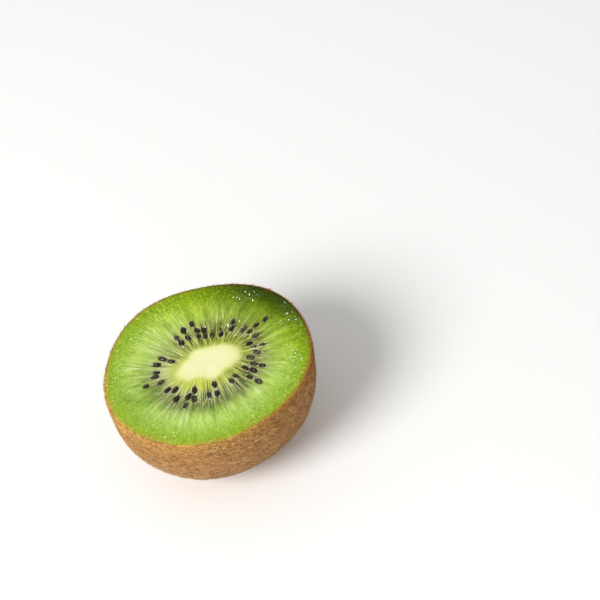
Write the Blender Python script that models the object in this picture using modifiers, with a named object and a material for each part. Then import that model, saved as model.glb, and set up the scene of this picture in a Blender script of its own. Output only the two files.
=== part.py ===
# Half of a kiwi fruit, cut across and lying on its rounded end with the cut face up.
# It is one body: skin, flesh and core in one piece, with the seeds that stand out of the cut face
# joined to it. +Z is up and the origin is under the middle of the fruit, on the surface it rests on.

import math
import random

import bmesh
import bpy
from mathutils import Matrix, Vector

MM = 0.001

# The fruit's form
FACE_RADIUS = 26.0 * MM  # mean radius of the cut face
HEIGHT = 29.0 * MM  # from the resting spot up to the cut face
REST_RADIUS = 4.5 * MM  # the flat spot under the rounded end
SIDE_FULLNESS = 3.2  # higher keeps the side wide for longer before it turns in
END_ROUNDNESS = 1.75  # 2 is an elliptical end, and less is more pointed
# Slow waves that make the fruit uneven: share of the radius, number of lobes, direction in degrees
OUTLINE_WAVES = ((0.0268, 2, 30.6), (0.0090, 3, 5.4), (0.0077, 4, 41.5), (0.0083, 5, -21.0))
SIDE_WAVE = (0.008, 3, 80.0)  # a low swelling halfway down the side, in the same terms

# The pale core in the middle of the cut face
CORE_LENGTH = 17.0 * MM
CORE_WIDTH = 10.6 * MM
CORE_CENTRE = (0.3 * MM, -0.5 * MM)  # off the middle of the face
CORE_TURN = math.radians(15.0)

# Relief of the cut face
RIM_DROP = 0.45 * MM  # the flesh rolls down to meet the skin
RIM_BAND = 0.045  # width of that roll, as a share of the radius
CORE_CROWN = 0.15 * MM
SEED_MOAT_DEPTH = 0.30 * MM  # the ring of soft seed pockets lies a little lower
SEED_MOAT_LENGTH = 28.4 * MM
SEED_MOAT_WIDTH = 22.4 * MM
SEED_MOAT_SPREAD = 0.26  # width of the ring, as a share of its size

# The seeds, in narrow pockets that run outward from the core. A place in a pocket is a share of the
# way from the core's edge to the rim.
POCKET_COUNT = 38
POCKET_UNEVENNESS = 0.3  # how far a pocket strays, as a share of the pockets' spacing
SEEDS_IN_POCKET = (5, 8, 7, 2)  # how often a pocket has no seed, one, two and three
FIRST_SEED = (0.10, 0.32)  # where the seed nearest the core lies, from and to
SEED_STEP = (0.09, 0.15)  # from one seed to the next in a pocket
SEED_STRAY = 0.03  # how far a seed lies off the middle of its pocket, as an angle
SEED_SWING = 0.25  # how far it is turned off its pocket's line, as an angle
SEED_LENGTH = 1.85 * MM
SEED_WIDTH = 1.12 * MM
SEED_THICKNESS = 0.90 * MM
SEED_TAPER = 0.30  # how much narrower the end towards the core is
SEED_LIFT = (-0.18 * MM, 0.10 * MM)  # the middle of a seed above the flesh round it, from and to
SEED_ROOM_ALONG = 2.10 * MM  # no other seed's middle lies in an oval of this half length
SEED_ROOM_ACROSS = 1.30 * MM  # and this half width
SEED_SIZE_SPREAD = 0.15
SEED_DRAW = 3267  # picks one of the scatters that these rules allow

# How finely the form is cut into faces
TURN_STEPS = 60
FACE_RINGS = 11
SIDE_RINGS = 16
SEED_SIDES = 6
SEED_RINGS = 4
MERGE_DISTANCE = 0.1 * MM  # closes the turned body at its axis
FACE_TOLERANCE = 0.01 * MM  # a point this near the cut's height belongs to the cut face
SHARP_ANGLE = math.radians(35.0)


def side_share(depth):
    """Radius of the side as a share of the full radius, at a depth from 0 at the face to 1 at the end."""
    return max(0.0, 1.0 - depth**SIDE_FULLNESS) ** (1.0 / END_ROUNDNESS)


def depth_at(share):
    """The depth at which the side has come in to this share of the full radius."""
    return (1.0 - share**END_ROUNDNESS) ** (1.0 / SIDE_FULLNESS)


def rim_wave(turn):
    """Radius of the uneven outline in this direction, as a share of the mean radius."""
    return 1.0 + sum(
        amount * math.cos(lobes * (turn - math.radians(direction)))
        for amount, lobes, direction in OUTLINE_WAVES
    )


def side_wave(turn, height):
    """The swelling of the side, which is nothing at the face and at the resting spot."""
    amount, lobes, direction = SIDE_WAVE
    bow = math.sin(math.pi * min(1.0, max(0.0, height / HEIGHT)))
    return 1.0 + amount * bow * math.cos(lobes * (turn - math.radians(direction)))


def outline_middle():
    """Middle of the outline's bounding box, which the origin is put under."""
    turns = [math.tau * n / TURN_STEPS for n in range(TURN_STEPS)]
    xs = [FACE_RADIUS * rim_wave(turn) * math.cos(turn) for turn in turns]
    ys = [FACE_RADIUS * rim_wave(turn) * math.sin(turn) for turn in turns]
    return Vector(((min(xs) + max(xs)) / 2, (min(ys) + max(ys)) / 2, 0.0))


def oval_distance(x, y, length, width):
    """1 on an oval of this size that lies over the core and is turned with it, and 0 at its middle."""
    dx = x - CORE_CENTRE[0]
    dy = y - CORE_CENTRE[1]
    along = dx * math.cos(CORE_TURN) + dy * math.sin(CORE_TURN)
    across = dy * math.cos(CORE_TURN) - dx * math.sin(CORE_TURN)
    return math.hypot(along / (length / 2), across / (width / 2))


def face_height(x, y):
    """Height of the cut face above the resting spot: a low crown, a shallow ring and a rolled rim."""
    share = math.hypot(x, y) / (FACE_RADIUS * rim_wave(math.atan2(y, x)))
    crown = CORE_CROWN * math.exp(-(oval_distance(x, y, CORE_LENGTH, CORE_WIDTH) ** 4))
    off_ring = (oval_distance(x, y, SEED_MOAT_LENGTH, SEED_MOAT_WIDTH) - 1.0) / SEED_MOAT_SPREAD
    moat = SEED_MOAT_DEPTH * math.exp(-(off_ring**2))
    roll = max(0.0, 1.0 - (1.0 - share) / RIM_BAND)
    return HEIGHT + crown - moat - RIM_DROP * roll**2


def profile_points():
    """The half section, from the middle of the face out to the rim and down to the resting spot."""
    face = [(FACE_RADIUS * math.sin(math.pi / 2 * n / FACE_RINGS), HEIGHT) for n in range(FACE_RINGS + 1)]
    rest_depth = depth_at(REST_RADIUS / FACE_RADIUS)
    side = []
    for n in range(1, SIDE_RINGS + 1):
        depth = rest_depth * math.sin(math.pi / 2 * n / SIDE_RINGS)
        side.append((FACE_RADIUS * side_share(depth), HEIGHT * (1.0 - depth / rest_depth)))
    rest = [(REST_RADIUS / 2, 0.0), (0.0, 0.0)]
    return face + side + rest


def turned_body():
    """The half section turned about the upright axis with a Screw modifier."""
    points = [(x, 0.0, z) for x, z in profile_points()]
    mesh = bpy.data.meshes.new("half_section")
    mesh.from_pydata(points, [(n, n + 1) for n in range(len(points) - 1)], [])
    section = bpy.data.objects.new("half_section", mesh)
    bpy.context.scene.collection.objects.link(section)
    turn = section.modifiers.new("turn", "SCREW")
    turn.axis = "Z"
    turn.steps = turn.render_steps = TURN_STEPS
    turn.use_merge_vertices = True
    turn.merge_threshold = MERGE_DISTANCE
    graph = bpy.context.evaluated_depsgraph_get()
    turned = bpy.data.meshes.new_from_object(section.evaluated_get(graph))
    bpy.data.objects.remove(section)
    turned.name = "kiwi_half"
    return turned


def make_uneven(mesh, middle):
    """Gives the round turned body its uneven outline, its swollen side and the relief of the cut face."""
    for vertex in mesh.vertices:
        x, y, z = vertex.co
        turn = math.atan2(y, x)
        wave = rim_wave(turn) * side_wave(turn, z)
        on_face = z > HEIGHT - FACE_TOLERANCE
        x *= wave
        y *= wave
        vertex.co = Vector((x, y, face_height(x, y) if on_face else z)) - middle


def pocket_line(turn):
    """Start on the core's edge and end on the rim of the line that a seed pocket follows."""
    along = CORE_LENGTH / 2 * math.cos(turn)
    across = CORE_WIDTH / 2 * math.sin(turn)
    start = Vector(CORE_CENTRE) + Vector((along, across)) @ Matrix.Rotation(-CORE_TURN, 2)
    heading = turn + CORE_TURN
    reach = FACE_RADIUS * rim_wave(heading)
    return start, Vector((reach * math.cos(heading), reach * math.sin(heading)))


def is_clear(place, heading, others):
    """Whether no other seed lies in the oval of room round this place."""
    for other, _, _, _ in others:
        offset = (place - other) @ Matrix.Rotation(heading, 2)
        if math.hypot(offset.x / SEED_ROOM_ALONG, offset.y / SEED_ROOM_ACROSS) <= 1.0:
            return False
    return True


def seed_places():
    """Place, heading, size and lift of each seed: up to three in a row in a pocket, and none too close."""
    draw = random.Random(SEED_DRAW)
    depths = random.Random(SEED_DRAW + 1)
    found = []
    for pocket in range(POCKET_COUNT):
        turn = math.tau * (pocket + draw.uniform(-POCKET_UNEVENNESS, POCKET_UNEVENNESS)) / POCKET_COUNT
        share = draw.uniform(*FIRST_SEED)
        for _ in range(draw.choices((0, 1, 2, 3), weights=SEEDS_IN_POCKET)[0]):
            start, end = pocket_line(turn + draw.uniform(-SEED_STRAY, SEED_STRAY))
            run = end - start
            heading = math.atan2(run.y, run.x) + draw.uniform(-SEED_SWING, SEED_SWING)
            place = start.lerp(end, share)
            size = 1.0 + draw.uniform(-SEED_SIZE_SPREAD, SEED_SIZE_SPREAD)
            share += draw.uniform(*SEED_STEP)
            if is_clear(place, heading, found):
                found.append((place, heading, size, depths.uniform(*SEED_LIFT)))
    return found


def seed_object(number, place, heading, size, lift, middle):
    """A seed: a small drop lying along its pocket, with its narrow end towards the core."""
    bed = Vector((place.x, place.y, face_height(place.x, place.y) + lift)) - middle
    lying = Matrix.Rotation(heading, 4, "Z") @ Matrix.Rotation(math.pi / 2, 4, "Y")
    form = bmesh.new()
    bmesh.ops.create_uvsphere(form, u_segments=SEED_SIDES, v_segments=SEED_RINGS, radius=0.5)
    for vertex in form.verts:
        narrowing = 1.0 - SEED_TAPER * (0.5 - vertex.co.z)
        vertex.co.x *= SEED_THICKNESS * size * narrowing
        vertex.co.y *= SEED_WIDTH * size * narrowing
        vertex.co.z *= SEED_LENGTH * size
    bmesh.ops.transform(form, matrix=Matrix.Translation(bed) @ lying, verts=form.verts)
    mesh = bpy.data.meshes.new(f"seed_{number:02d}")
    form.to_mesh(mesh)
    form.free()
    return bpy.data.objects.new(f"seed_{number:02d}", mesh)


def join_seeds(body, middle):
    """Joins all seeds to the body with one Boolean union, and removes the loose ones."""
    seeds = bpy.data.collections.new("seeds")
    bpy.context.scene.collection.children.link(seeds)
    for number, (place, heading, size, lift) in enumerate(seed_places()):
        seeds.objects.link(seed_object(number, place, heading, size, lift, middle))
    union = body.modifiers.new("join_seeds", "BOOLEAN")
    union.operation = "UNION"
    union.operand_type = "COLLECTION"
    union.collection = seeds
    union.solver = "EXACT"
    graph = bpy.context.evaluated_depsgraph_get()
    joined = bpy.data.meshes.new_from_object(body.evaluated_get(graph))
    body.modifiers.remove(union)
    body.data = joined
    for seed in list(seeds.objects):
        bpy.data.objects.remove(seed)
    bpy.data.collections.remove(seeds)


def fruit_material():
    """The wet green flesh, which most of what shows is."""
    material = bpy.data.materials.new("kiwi_flesh")
    material.use_nodes = True
    shader = material.node_tree.nodes["Principled BSDF"]
    shader.inputs["Base Color"].default_value = (0.33, 0.52, 0.07, 1.0)
    shader.inputs["Roughness"].default_value = 0.32
    shader.inputs["Metallic"].default_value = 0.0
    return material


def build():
    for leftover in list(bpy.data.objects):
        bpy.data.objects.remove(leftover)
    kiwi = bpy.data.collections.new("kiwi_fruit_half")
    bpy.context.scene.collection.children.link(kiwi)
    middle = outline_middle()
    mesh = turned_body()
    make_uneven(mesh, middle)
    body = bpy.data.objects.new("kiwi_half", mesh)
    kiwi.objects.link(body)
    join_seeds(body, middle)
    body.data.materials.clear()
    body.data.materials.append(fruit_material())
    body.data.shade_smooth()
    body.data.set_sharp_from_angle(angle=SHARP_ANGLE)


build()
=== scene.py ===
import math
import random
from itertools import product

import bpy
import numpy as np
from mathutils import Matrix, Vector


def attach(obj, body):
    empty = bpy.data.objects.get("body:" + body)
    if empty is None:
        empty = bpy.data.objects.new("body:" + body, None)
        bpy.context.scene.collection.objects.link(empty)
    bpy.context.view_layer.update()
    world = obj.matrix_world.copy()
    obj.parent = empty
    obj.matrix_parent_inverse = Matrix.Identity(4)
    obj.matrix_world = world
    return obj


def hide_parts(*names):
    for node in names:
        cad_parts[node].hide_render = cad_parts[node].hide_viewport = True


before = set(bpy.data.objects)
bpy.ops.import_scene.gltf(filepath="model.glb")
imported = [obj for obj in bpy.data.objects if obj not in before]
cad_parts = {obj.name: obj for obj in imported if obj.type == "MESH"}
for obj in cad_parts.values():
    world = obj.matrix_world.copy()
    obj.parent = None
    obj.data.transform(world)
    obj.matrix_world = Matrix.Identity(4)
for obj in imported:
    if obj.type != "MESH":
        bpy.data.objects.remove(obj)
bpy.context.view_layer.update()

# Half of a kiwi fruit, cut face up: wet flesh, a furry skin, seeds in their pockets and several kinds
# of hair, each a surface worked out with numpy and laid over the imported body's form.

mm = 0.001
fullTurn = 2 * math.pi
solidNode = "kiwi_half"
bodyName = "root"

# The fruit's form, in the same sizes as the solid
fruit = {
    "faceRadius": 26.0 * mm,
    "height": 29.0 * mm,
    "restRadius": 4.5 * mm,
    "sideFullness": 3.2,
    "endRoundness": 1.75,
    "outlineWaves": ((0.0268, 2, 30.6), (0.0090, 3, 5.4), (0.0077, 4, 41.5), (0.0083, 5, -21.0)),
    "sideWave": (0.008, 3, 80.0),
    "rimDrop": 0.45 * mm,
    "rimBand": 0.045,
    "coreLength": 17.0 * mm,
    "coreWidth": 10.6 * mm,
    "coreCentre": (0.3 * mm, -0.5 * mm),
    "coreTurn": math.radians(15.0),
    "coreCrown": 0.15 * mm,
    "moatDepth": 0.30 * mm,
    "moatLength": 28.4 * mm,
    "moatWidth": 22.4 * mm,
    "moatSpread": 0.26,
}


def smoothStep(low, high, value):
    # 0 below low, 1 above high, and an even S between them
    x = np.clip((value - low) / (high - low), 0.0, 1.0)
    return x * x * (3.0 - 2.0 * x)


def bell(value, width):
    # 1 where the value is 0, falling to a third at one width
    return np.exp(-((value / width) ** 2))


def unit(vectors):
    # the same directions at length 1
    return vectors / np.maximum(np.linalg.norm(vectors, axis=-1, keepdims=True), 1e-12)


def angleBetween(a, b):
    # the turn from b to a, between minus half a turn and half a turn
    return (a - b + math.pi) % fullTurn - math.pi


def sideBell(turn, side, spread):
    # a bell over directions round the fruit: 1 towards the side, a third at the spread, in degrees
    return bell(np.degrees(angleBetween(turn, math.radians(side))), spread)


def latticeNoise(points, size, seed):
    # Random numbers on a cubic lattice of this spacing, blended by an even S between a cell's eight
    # corners: from -1 to 1, smooth, and the same each run.
    scaled = np.asarray(points) / size
    cell = np.floor(scaled).astype(np.int64)
    inside = scaled - cell
    inside = inside * inside * (3.0 - 2.0 * inside)
    total = np.zeros(cell.shape[:-1])
    for corner in product((0, 1), repeat=3):
        c = cell + np.array(corner)
        key = c[..., 0] * 73856093 ^ c[..., 1] * 19349663 ^ c[..., 2] * 83492791 ^ (seed * 40503 + 977)
        key = (key ^ (key >> 13)) * 1274126177 & 0xFFFFFFFF
        key = (key ^ (key >> 15)) * 668265263 & 0xFFFFFFFF
        value = ((key >> 8) & 0xFFFF) / 32767.5 - 1.0
        weight = np.prod(np.where(np.array(corner) == 1, inside, 1.0 - inside), axis=-1)
        total += value * weight
    return total


def layeredNoise(points, size, seed, layers=3):
    # lattice noise plus finer noise of half the size and half the strength, layer by layer
    total, strength = 0.0, 0.0
    for layer in range(layers):
        share = 0.5**layer
        total = total + share * latticeNoise(points, size * share, seed + layer)
        strength += share
    return total / strength


def column(values):
    # numbers along a first axis, ready to meet a grid of places
    return np.reshape(values, (-1, 1, 1))


def stacked(x, y, z):
    # three arrays as one array of points
    return np.stack(np.broadcast_arrays(x, y, z), axis=-1)


def ringed(reach, turns, height):
    # points at this reach from the axis, in these directions and at this height
    return stacked(reach * np.cos(turns), reach * np.sin(turns), height)


def rimWave(turn):
    # radius of the uneven outline as a share of the mean: 1 plus a few slow waves
    return 1.0 + sum(a * np.cos(n * (turn - math.radians(d))) for a, n, d in fruit["outlineWaves"])


def sideWave(turn, height):
    # the low swelling halfway down the side
    amount, lobes, direction = fruit["sideWave"]
    bow = np.sin(math.pi * np.clip(height / fruit["height"], 0.0, 1.0))
    return 1.0 + amount * bow * np.cos(lobes * (turn - math.radians(direction)))


def outlineMiddle():
    # middle of the outline's box, which the origin lies under
    turns = fullTurn * np.arange(60) / 60
    reach = fruit["faceRadius"] * rimWave(turns)
    xs, ys = reach * np.cos(turns), reach * np.sin(turns)
    return np.array(((xs.min() + xs.max()) / 2, (ys.min() + ys.max()) / 2, 0.0))


middle = outlineMiddle()


def ovalDistance(x, y, length, width):
    # 1 on an oval of this size laid over the core, 0 at its middle
    turn = fruit["coreTurn"]
    dx, dy = x - fruit["coreCentre"][0], y - fruit["coreCentre"][1]
    along = dx * math.cos(turn) + dy * math.sin(turn)
    across = dy * math.cos(turn) - dx * math.sin(turn)
    return np.hypot(along / (length / 2), across / (width / 2))


def faceHeight(x, y):
    # the cut face: level, with a low crown at the core, a shallow ring round it and a rolled rim
    share = np.hypot(x, y) / (fruit["faceRadius"] * rimWave(np.arctan2(y, x)))
    crown = fruit["coreCrown"] * np.exp(-ovalDistance(x, y, fruit["coreLength"], fruit["coreWidth"]) ** 4)
    ring = ovalDistance(x, y, fruit["moatLength"], fruit["moatWidth"]) - 1.0
    roll = np.maximum(0.0, 1.0 - (1.0 - share) / fruit["rimBand"])
    dip = fruit["moatDepth"] * bell(ring, fruit["moatSpread"])
    return fruit["height"] + crown - dip - fruit["rimDrop"] * roll**2


def rayEnds(turn, inset=0.0):
    # where a ray starts on the core's oval edge and where it ends on the rim
    tilt = fruit["coreTurn"]
    along = fruit["coreLength"] / 2 * np.cos(turn)
    across = fruit["coreWidth"] / 2 * np.sin(turn)
    startX = fruit["coreCentre"][0] + along * math.cos(tilt) - across * math.sin(tilt)
    startY = fruit["coreCentre"][1] + along * math.sin(tilt) + across * math.cos(tilt)
    reach = fruit["faceRadius"] * rimWave(turn + tilt) - inset
    return startX, startY, reach * np.cos(turn + tilt), reach * np.sin(turn + tilt)


def rayPoint(turn, share, inset):
    # A place on the cut face. From share -1 to 0 it runs from the core's middle to its edge, and from
    # 0 to 1 on along the ray to the rim.
    startX, startY, endX, endY = rayEnds(turn, inset)
    centreX, centreY = fruit["coreCentre"]
    inner, outer = np.clip(share, -1.0, 0.0) + 1.0, np.clip(share, 0.0, 1.0)
    x = centreX + (startX - centreX) * inner + (endX - startX) * outer
    y = centreY + (startY - centreY) * inner + (endY - startY) * outer
    return x, y


def sideSurface(shares, turns, ceiling=math.inf):
    # The body's side as rings of points, from the rim at share 0 to the flat spot at 1. A fine table of
    # the side's curve is measured along, and read at these shares of its length.
    fullness, roundness = fruit["sideFullness"], fruit["endRoundness"]
    restDepth = (1.0 - (fruit["restRadius"] / fruit["faceRadius"]) ** roundness) ** (1.0 / fullness)
    depth = restDepth * np.sin(np.linspace(0.0, math.pi / 2, 600))
    radius = np.maximum(0.0, 1.0 - depth**fullness) ** (1.0 / roundness)
    height = fruit["height"] * (1.0 - depth / restDepth)
    steps = np.hypot(np.diff(radius) * fruit["faceRadius"], np.diff(height))
    length = np.concatenate(((0.0,), np.cumsum(steps)))
    where = shares * length[-1]
    radius, height = np.interp(where, length, radius), np.interp(where, length, height)
    height = np.minimum(height, ceiling)[:, None]
    reach = fruit["faceRadius"] * radius[:, None] * rimWave(turns) * sideWave(turns, height)
    return ringed(reach, turns, height)


def gridNormals(points):
    # Outward directions of a grid of rings: the step from ring to ring crossed with the step round.
    sideways = (np.roll(points, -1, axis=1) - np.roll(points, 1, axis=1)) / 2
    return unit(np.cross(np.gradient(points, axis=0), sideways))


def ringFaces(rings, turns):
    # Corner numbers for a closed skin over rings of points, with a fan of triangles at each of the two
    # poles, which come after the rings.
    ring, turn = np.meshgrid(np.arange(rings - 1), np.arange(turns), indexing="ij")
    after = (turn + 1) % turns
    quads = np.stack((ring * turns + turn, (ring + 1) * turns + turn,
                      (ring + 1) * turns + after, ring * turns + after), axis=-1).reshape(-1, 4)
    n = np.arange(turns)
    m = (n + 1) % turns
    last, pole = (rings - 1) * turns, rings * turns
    top = np.stack((np.full(turns, pole), n, m), axis=-1)
    bottom = np.stack((last + n, np.full(turns, pole + 1), last + m), axis=-1)
    return quads, np.concatenate((top, bottom))


def closedGrid(points, firstPole, lastPole):
    # points, quads and triangles of a closed skin over rings of points and their two poles
    flat = np.concatenate((points.reshape(-1, 3), (firstPole, lastPole))) - middle
    return flat, *ringFaces(*points.shape[:2])


def repeated(faces, count, corners):
    # the same faces again for each of many small shapes with this many corners
    return (faces[None] + column(np.arange(count) * corners)).reshape(-1, faces.shape[-1])


def placed(name, data):
    # a new object with this data, put in the scene
    made = bpy.data.objects.new(name, data)
    bpy.context.scene.collection.objects.link(made)
    return made


def makeMesh(name, points, quads, triangles, attributes=None):
    # Puts points, four-cornered and three-cornered faces and point attributes into a new object.
    mesh = bpy.data.meshes.new(name)
    mesh.vertices.add(len(points))
    mesh.vertices.foreach_set("co", np.asarray(points, np.float32).ravel())
    corners = np.concatenate((quads.ravel(), triangles.ravel())).astype(np.int32)
    sizes = np.repeat((4, 3), (len(quads), len(triangles))).astype(np.int32)
    starts = np.concatenate(((0,), np.cumsum(sizes)[:-1])).astype(np.int32)
    mesh.loops.add(len(corners))
    mesh.loops.foreach_set("vertex_index", corners)
    mesh.polygons.add(len(sizes))
    mesh.polygons.foreach_set("loop_start", starts)
    mesh.polygons.foreach_set("loop_total", sizes)
    mesh.polygons.foreach_set("use_smooth", np.ones(len(sizes), bool))
    for key, values in (attributes or {}).items():
        values = np.asarray(values, np.float32)
        kind, field = ("FLOAT_VECTOR", "vector") if values.ndim == 2 else ("FLOAT", "value")
        mesh.attributes.new(key, kind, "POINT").data.foreach_set(field, values.ravel())
    mesh.update()
    mesh.validate()
    return placed(name, mesh)


def finishPiece(piece, paint):
    # gives a piece its paint and slot, and has it stand for the solid and ride on the fruit's body
    piece.data.materials.append(paint)
    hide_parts(solidNode)
    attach(piece, bodyName)
    triangles = sum(len(p.vertices) - 2 for p in piece.data.polygons)
    print(f"{piece.name}: {triangles} triangles")


def colour(red, green, blue):
    # a colour as a screen shows it, 0 to 255, turned into the light it stands for
    def light(value):
        share = value / 255.0
        return share / 12.92 if share <= 0.04045 else ((share + 0.055) / 1.055) ** 2.4
    return (light(red), light(green), light(blue), 1.0)


def mathsOn(operation, swapped=False):
    # an operator for Wire, which adds one Math node
    def act(self, other):
        return self.paint.maths(operation, *((other, self) if swapped else (self, other)))
    return act


# A socket in a material's tree. Arithmetic on it adds Math nodes.
class Wire:
    def __init__(self, paint, socket):
        self.paint = paint
        self.socket = socket

    __add__ = __radd__ = mathsOn("ADD")
    __mul__ = __rmul__ = mathsOn("MULTIPLY")
    __sub__, __rsub__ = mathsOn("SUBTRACT"), mathsOn("SUBTRACT", True)
    __truediv__, __rtruediv__ = mathsOn("DIVIDE"), mathsOn("DIVIDE", True)
    __pow__, __rpow__ = mathsOn("POWER"), mathsOn("POWER", True)


# A material and the nodes it is made of. Three numbers are a screen colour, and four are plain light.
class Paint:
    def __init__(self, name):
        self.material = bpy.data.materials.new(name)
        self.material.use_nodes = True
        self.tree = self.material.node_tree
        self.tree.nodes.clear()

    def node(self, kind, settings=None, sockets=None, output=0):
        # one node: its settings first, then its sockets' values and links
        made = self.tree.nodes.new("ShaderNode" + kind)
        for key, value in (settings or {}).items():
            if key == "stops":
                for place, tone in value[2:]:
                    made.color_ramp.elements.new(place)
                for element, (place, tone) in zip(made.color_ramp.elements, sorted(value)):
                    element.position = place
                    element.color = colour(*tone)
            else:
                setattr(made, key, value)
        for key, value in (sockets or {}).items():
            if isinstance(value, Wire):
                self.tree.links.new(value.socket, made.inputs[key])
            else:
                made.inputs[key].default_value = value
        return Wire(self, made.outputs[output]) if made.outputs else None

    def maths(self, operation, *values):
        return self.node("Math", {"operation": operation}, dict(enumerate(values)))

    def between(self, low, high, value):
        # 0 to 1 as the value goes from low to high, with soft ends
        settings = {"interpolation_type": "SMOOTHSTEP"}
        return self.node("MapRange", settings, {0: value, 1: low, 2: high})

    def bellAt(self, value, centre, width):
        # 1 where the value meets the centre, falling to a third at one width
        away = (value - centre) / width
        return self.maths("EXPONENT", -1.0 * away * away)

    def mixed(self, share, first, second, blend="MIX"):
        # the first colour where the share is 0 and the second where it is 1
        settings = {"data_type": "RGBA", "blend_type": blend, "clamp_factor": True}
        first, second = (colour(*tone) if isinstance(tone, tuple) and len(tone) == 3 else tone
                         for tone in (first, second))
        return self.node("Mix", settings, {0: share, 6: first, 7: second}, 2)

    def layered(self, tone, *layers):
        # lays colours over a tone one after another, each by its share, and its blend if it has one
        for share, over, *blend in layers:
            tone = self.mixed(share, tone, over, *blend)
        return tone

    def ramp(self, stops, place):
        return self.node("ValToRGB", {"stops": stops}, {0: place})

    def attribute(self, name, output="Fac"):
        return self.node("Attribute", {"attribute_name": name}, {}, output)

    def objectPlace(self):
        return self.node("TexCoord", {}, {}, "Object")

    def noise(self, place, scale, detail, roughness=0.5, distortion=0.0):
        sockets = {"Vector": place, "Scale": scale, "Detail": detail, "Roughness": roughness}
        return self.node("TexNoise", {}, sockets | {"Distortion": distortion}, "Fac")

    def cells(self, place, scale):
        # distance from the nearest of many scattered dots
        return self.node("TexVoronoi", {}, {"Vector": place, "Scale": scale}, "Distance")

    def bump(self, height, distance, strength, under=None):
        sockets = {"Height": height, "Distance": distance, "Strength": strength}
        return self.node("Bump", {}, sockets | ({"Normal": under} if under else {}))

    def shader(self, sockets):
        # the surface itself
        surface = self.node("BsdfPrincipled", {}, sockets)
        self.node("OutputMaterial", {}, {"Surface": surface})
        return self.material


# Seeds lie in narrow pockets that run outward from the core. These are the solid's own rules, drawn
# in the same order, so that each seed is where the solid has it.
seedRules = {
    "pockets": 38,
    "pocketUnevenness": 0.3,
    "seedsInPocket": (5, 8, 7, 2),
    "firstSeed": (0.10, 0.32),
    "seedStep": (0.09, 0.15),
    "seedStray": 0.03,
    "seedSwing": 0.25,
    "roomAlong": 2.10 * mm,
    "roomAcross": 1.30 * mm,
    "sizeSpread": 0.15,
    "lift": (-0.18 * mm, 0.10 * mm),
    "draw": 3267,
}


def placeSeeds():
    # Place, heading, size and lift of every seed, with the pockets' own turns. In each pocket seeds
    # follow one another outward, and one that would lie in another's oval of room is passed over.
    draw = random.Random(seedRules["draw"])
    depths = random.Random(seedRules["draw"] + 1)

    def strayed(rule):
        return draw.uniform(-seedRules[rule], seedRules[rule])

    seeds, pockets = [], []
    for pocket in range(seedRules["pockets"]):
        turn = fullTurn * (pocket + strayed("pocketUnevenness")) / seedRules["pockets"]
        pockets.append(turn)
        share = draw.uniform(*seedRules["firstSeed"])
        for _ in range(draw.choices((0, 1, 2, 3), weights=seedRules["seedsInPocket"])[0]):
            startX, startY, endX, endY = rayEnds(turn + strayed("seedStray"))
            heading = math.atan2(endY - startY, endX - startX) + strayed("seedSwing")
            x, y = startX + (endX - startX) * share, startY + (endY - startY) * share
            size = 1.0 + strayed("sizeSpread")
            share += draw.uniform(*seedRules["seedStep"])
            clear = True
            for otherX, otherY, *_ in seeds:
                dx, dy = x - otherX, y - otherY
                along = dx * math.cos(heading) + dy * math.sin(heading)
                across = dy * math.cos(heading) - dx * math.sin(heading)
                room = math.hypot(along / seedRules["roomAlong"], across / seedRules["roomAcross"])
                clear = clear and room > 1.0
            if clear:
                seeds.append((x, y, heading, size, depths.uniform(*seedRules["lift"])))
    return np.array(seeds), np.array(pockets)


seedTable, pocketTurns = placeSeeds()
print(f"placed {len(seedTable)} seeds in {len(pocketTurns)} pockets")

# The seeds: drops with their narrow end towards the core
seedForm = {
    "length": 1.85 * mm,
    "width": 1.12 * mm,
    "thickness": 0.90 * mm,
    "taper": 0.30,
    "bend": 0.05,
    "rings": 13,
    "sides": 16,
    "draw": 77,
    "tones": ((14, 7, 5), (44, 22, 17)),
}

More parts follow.
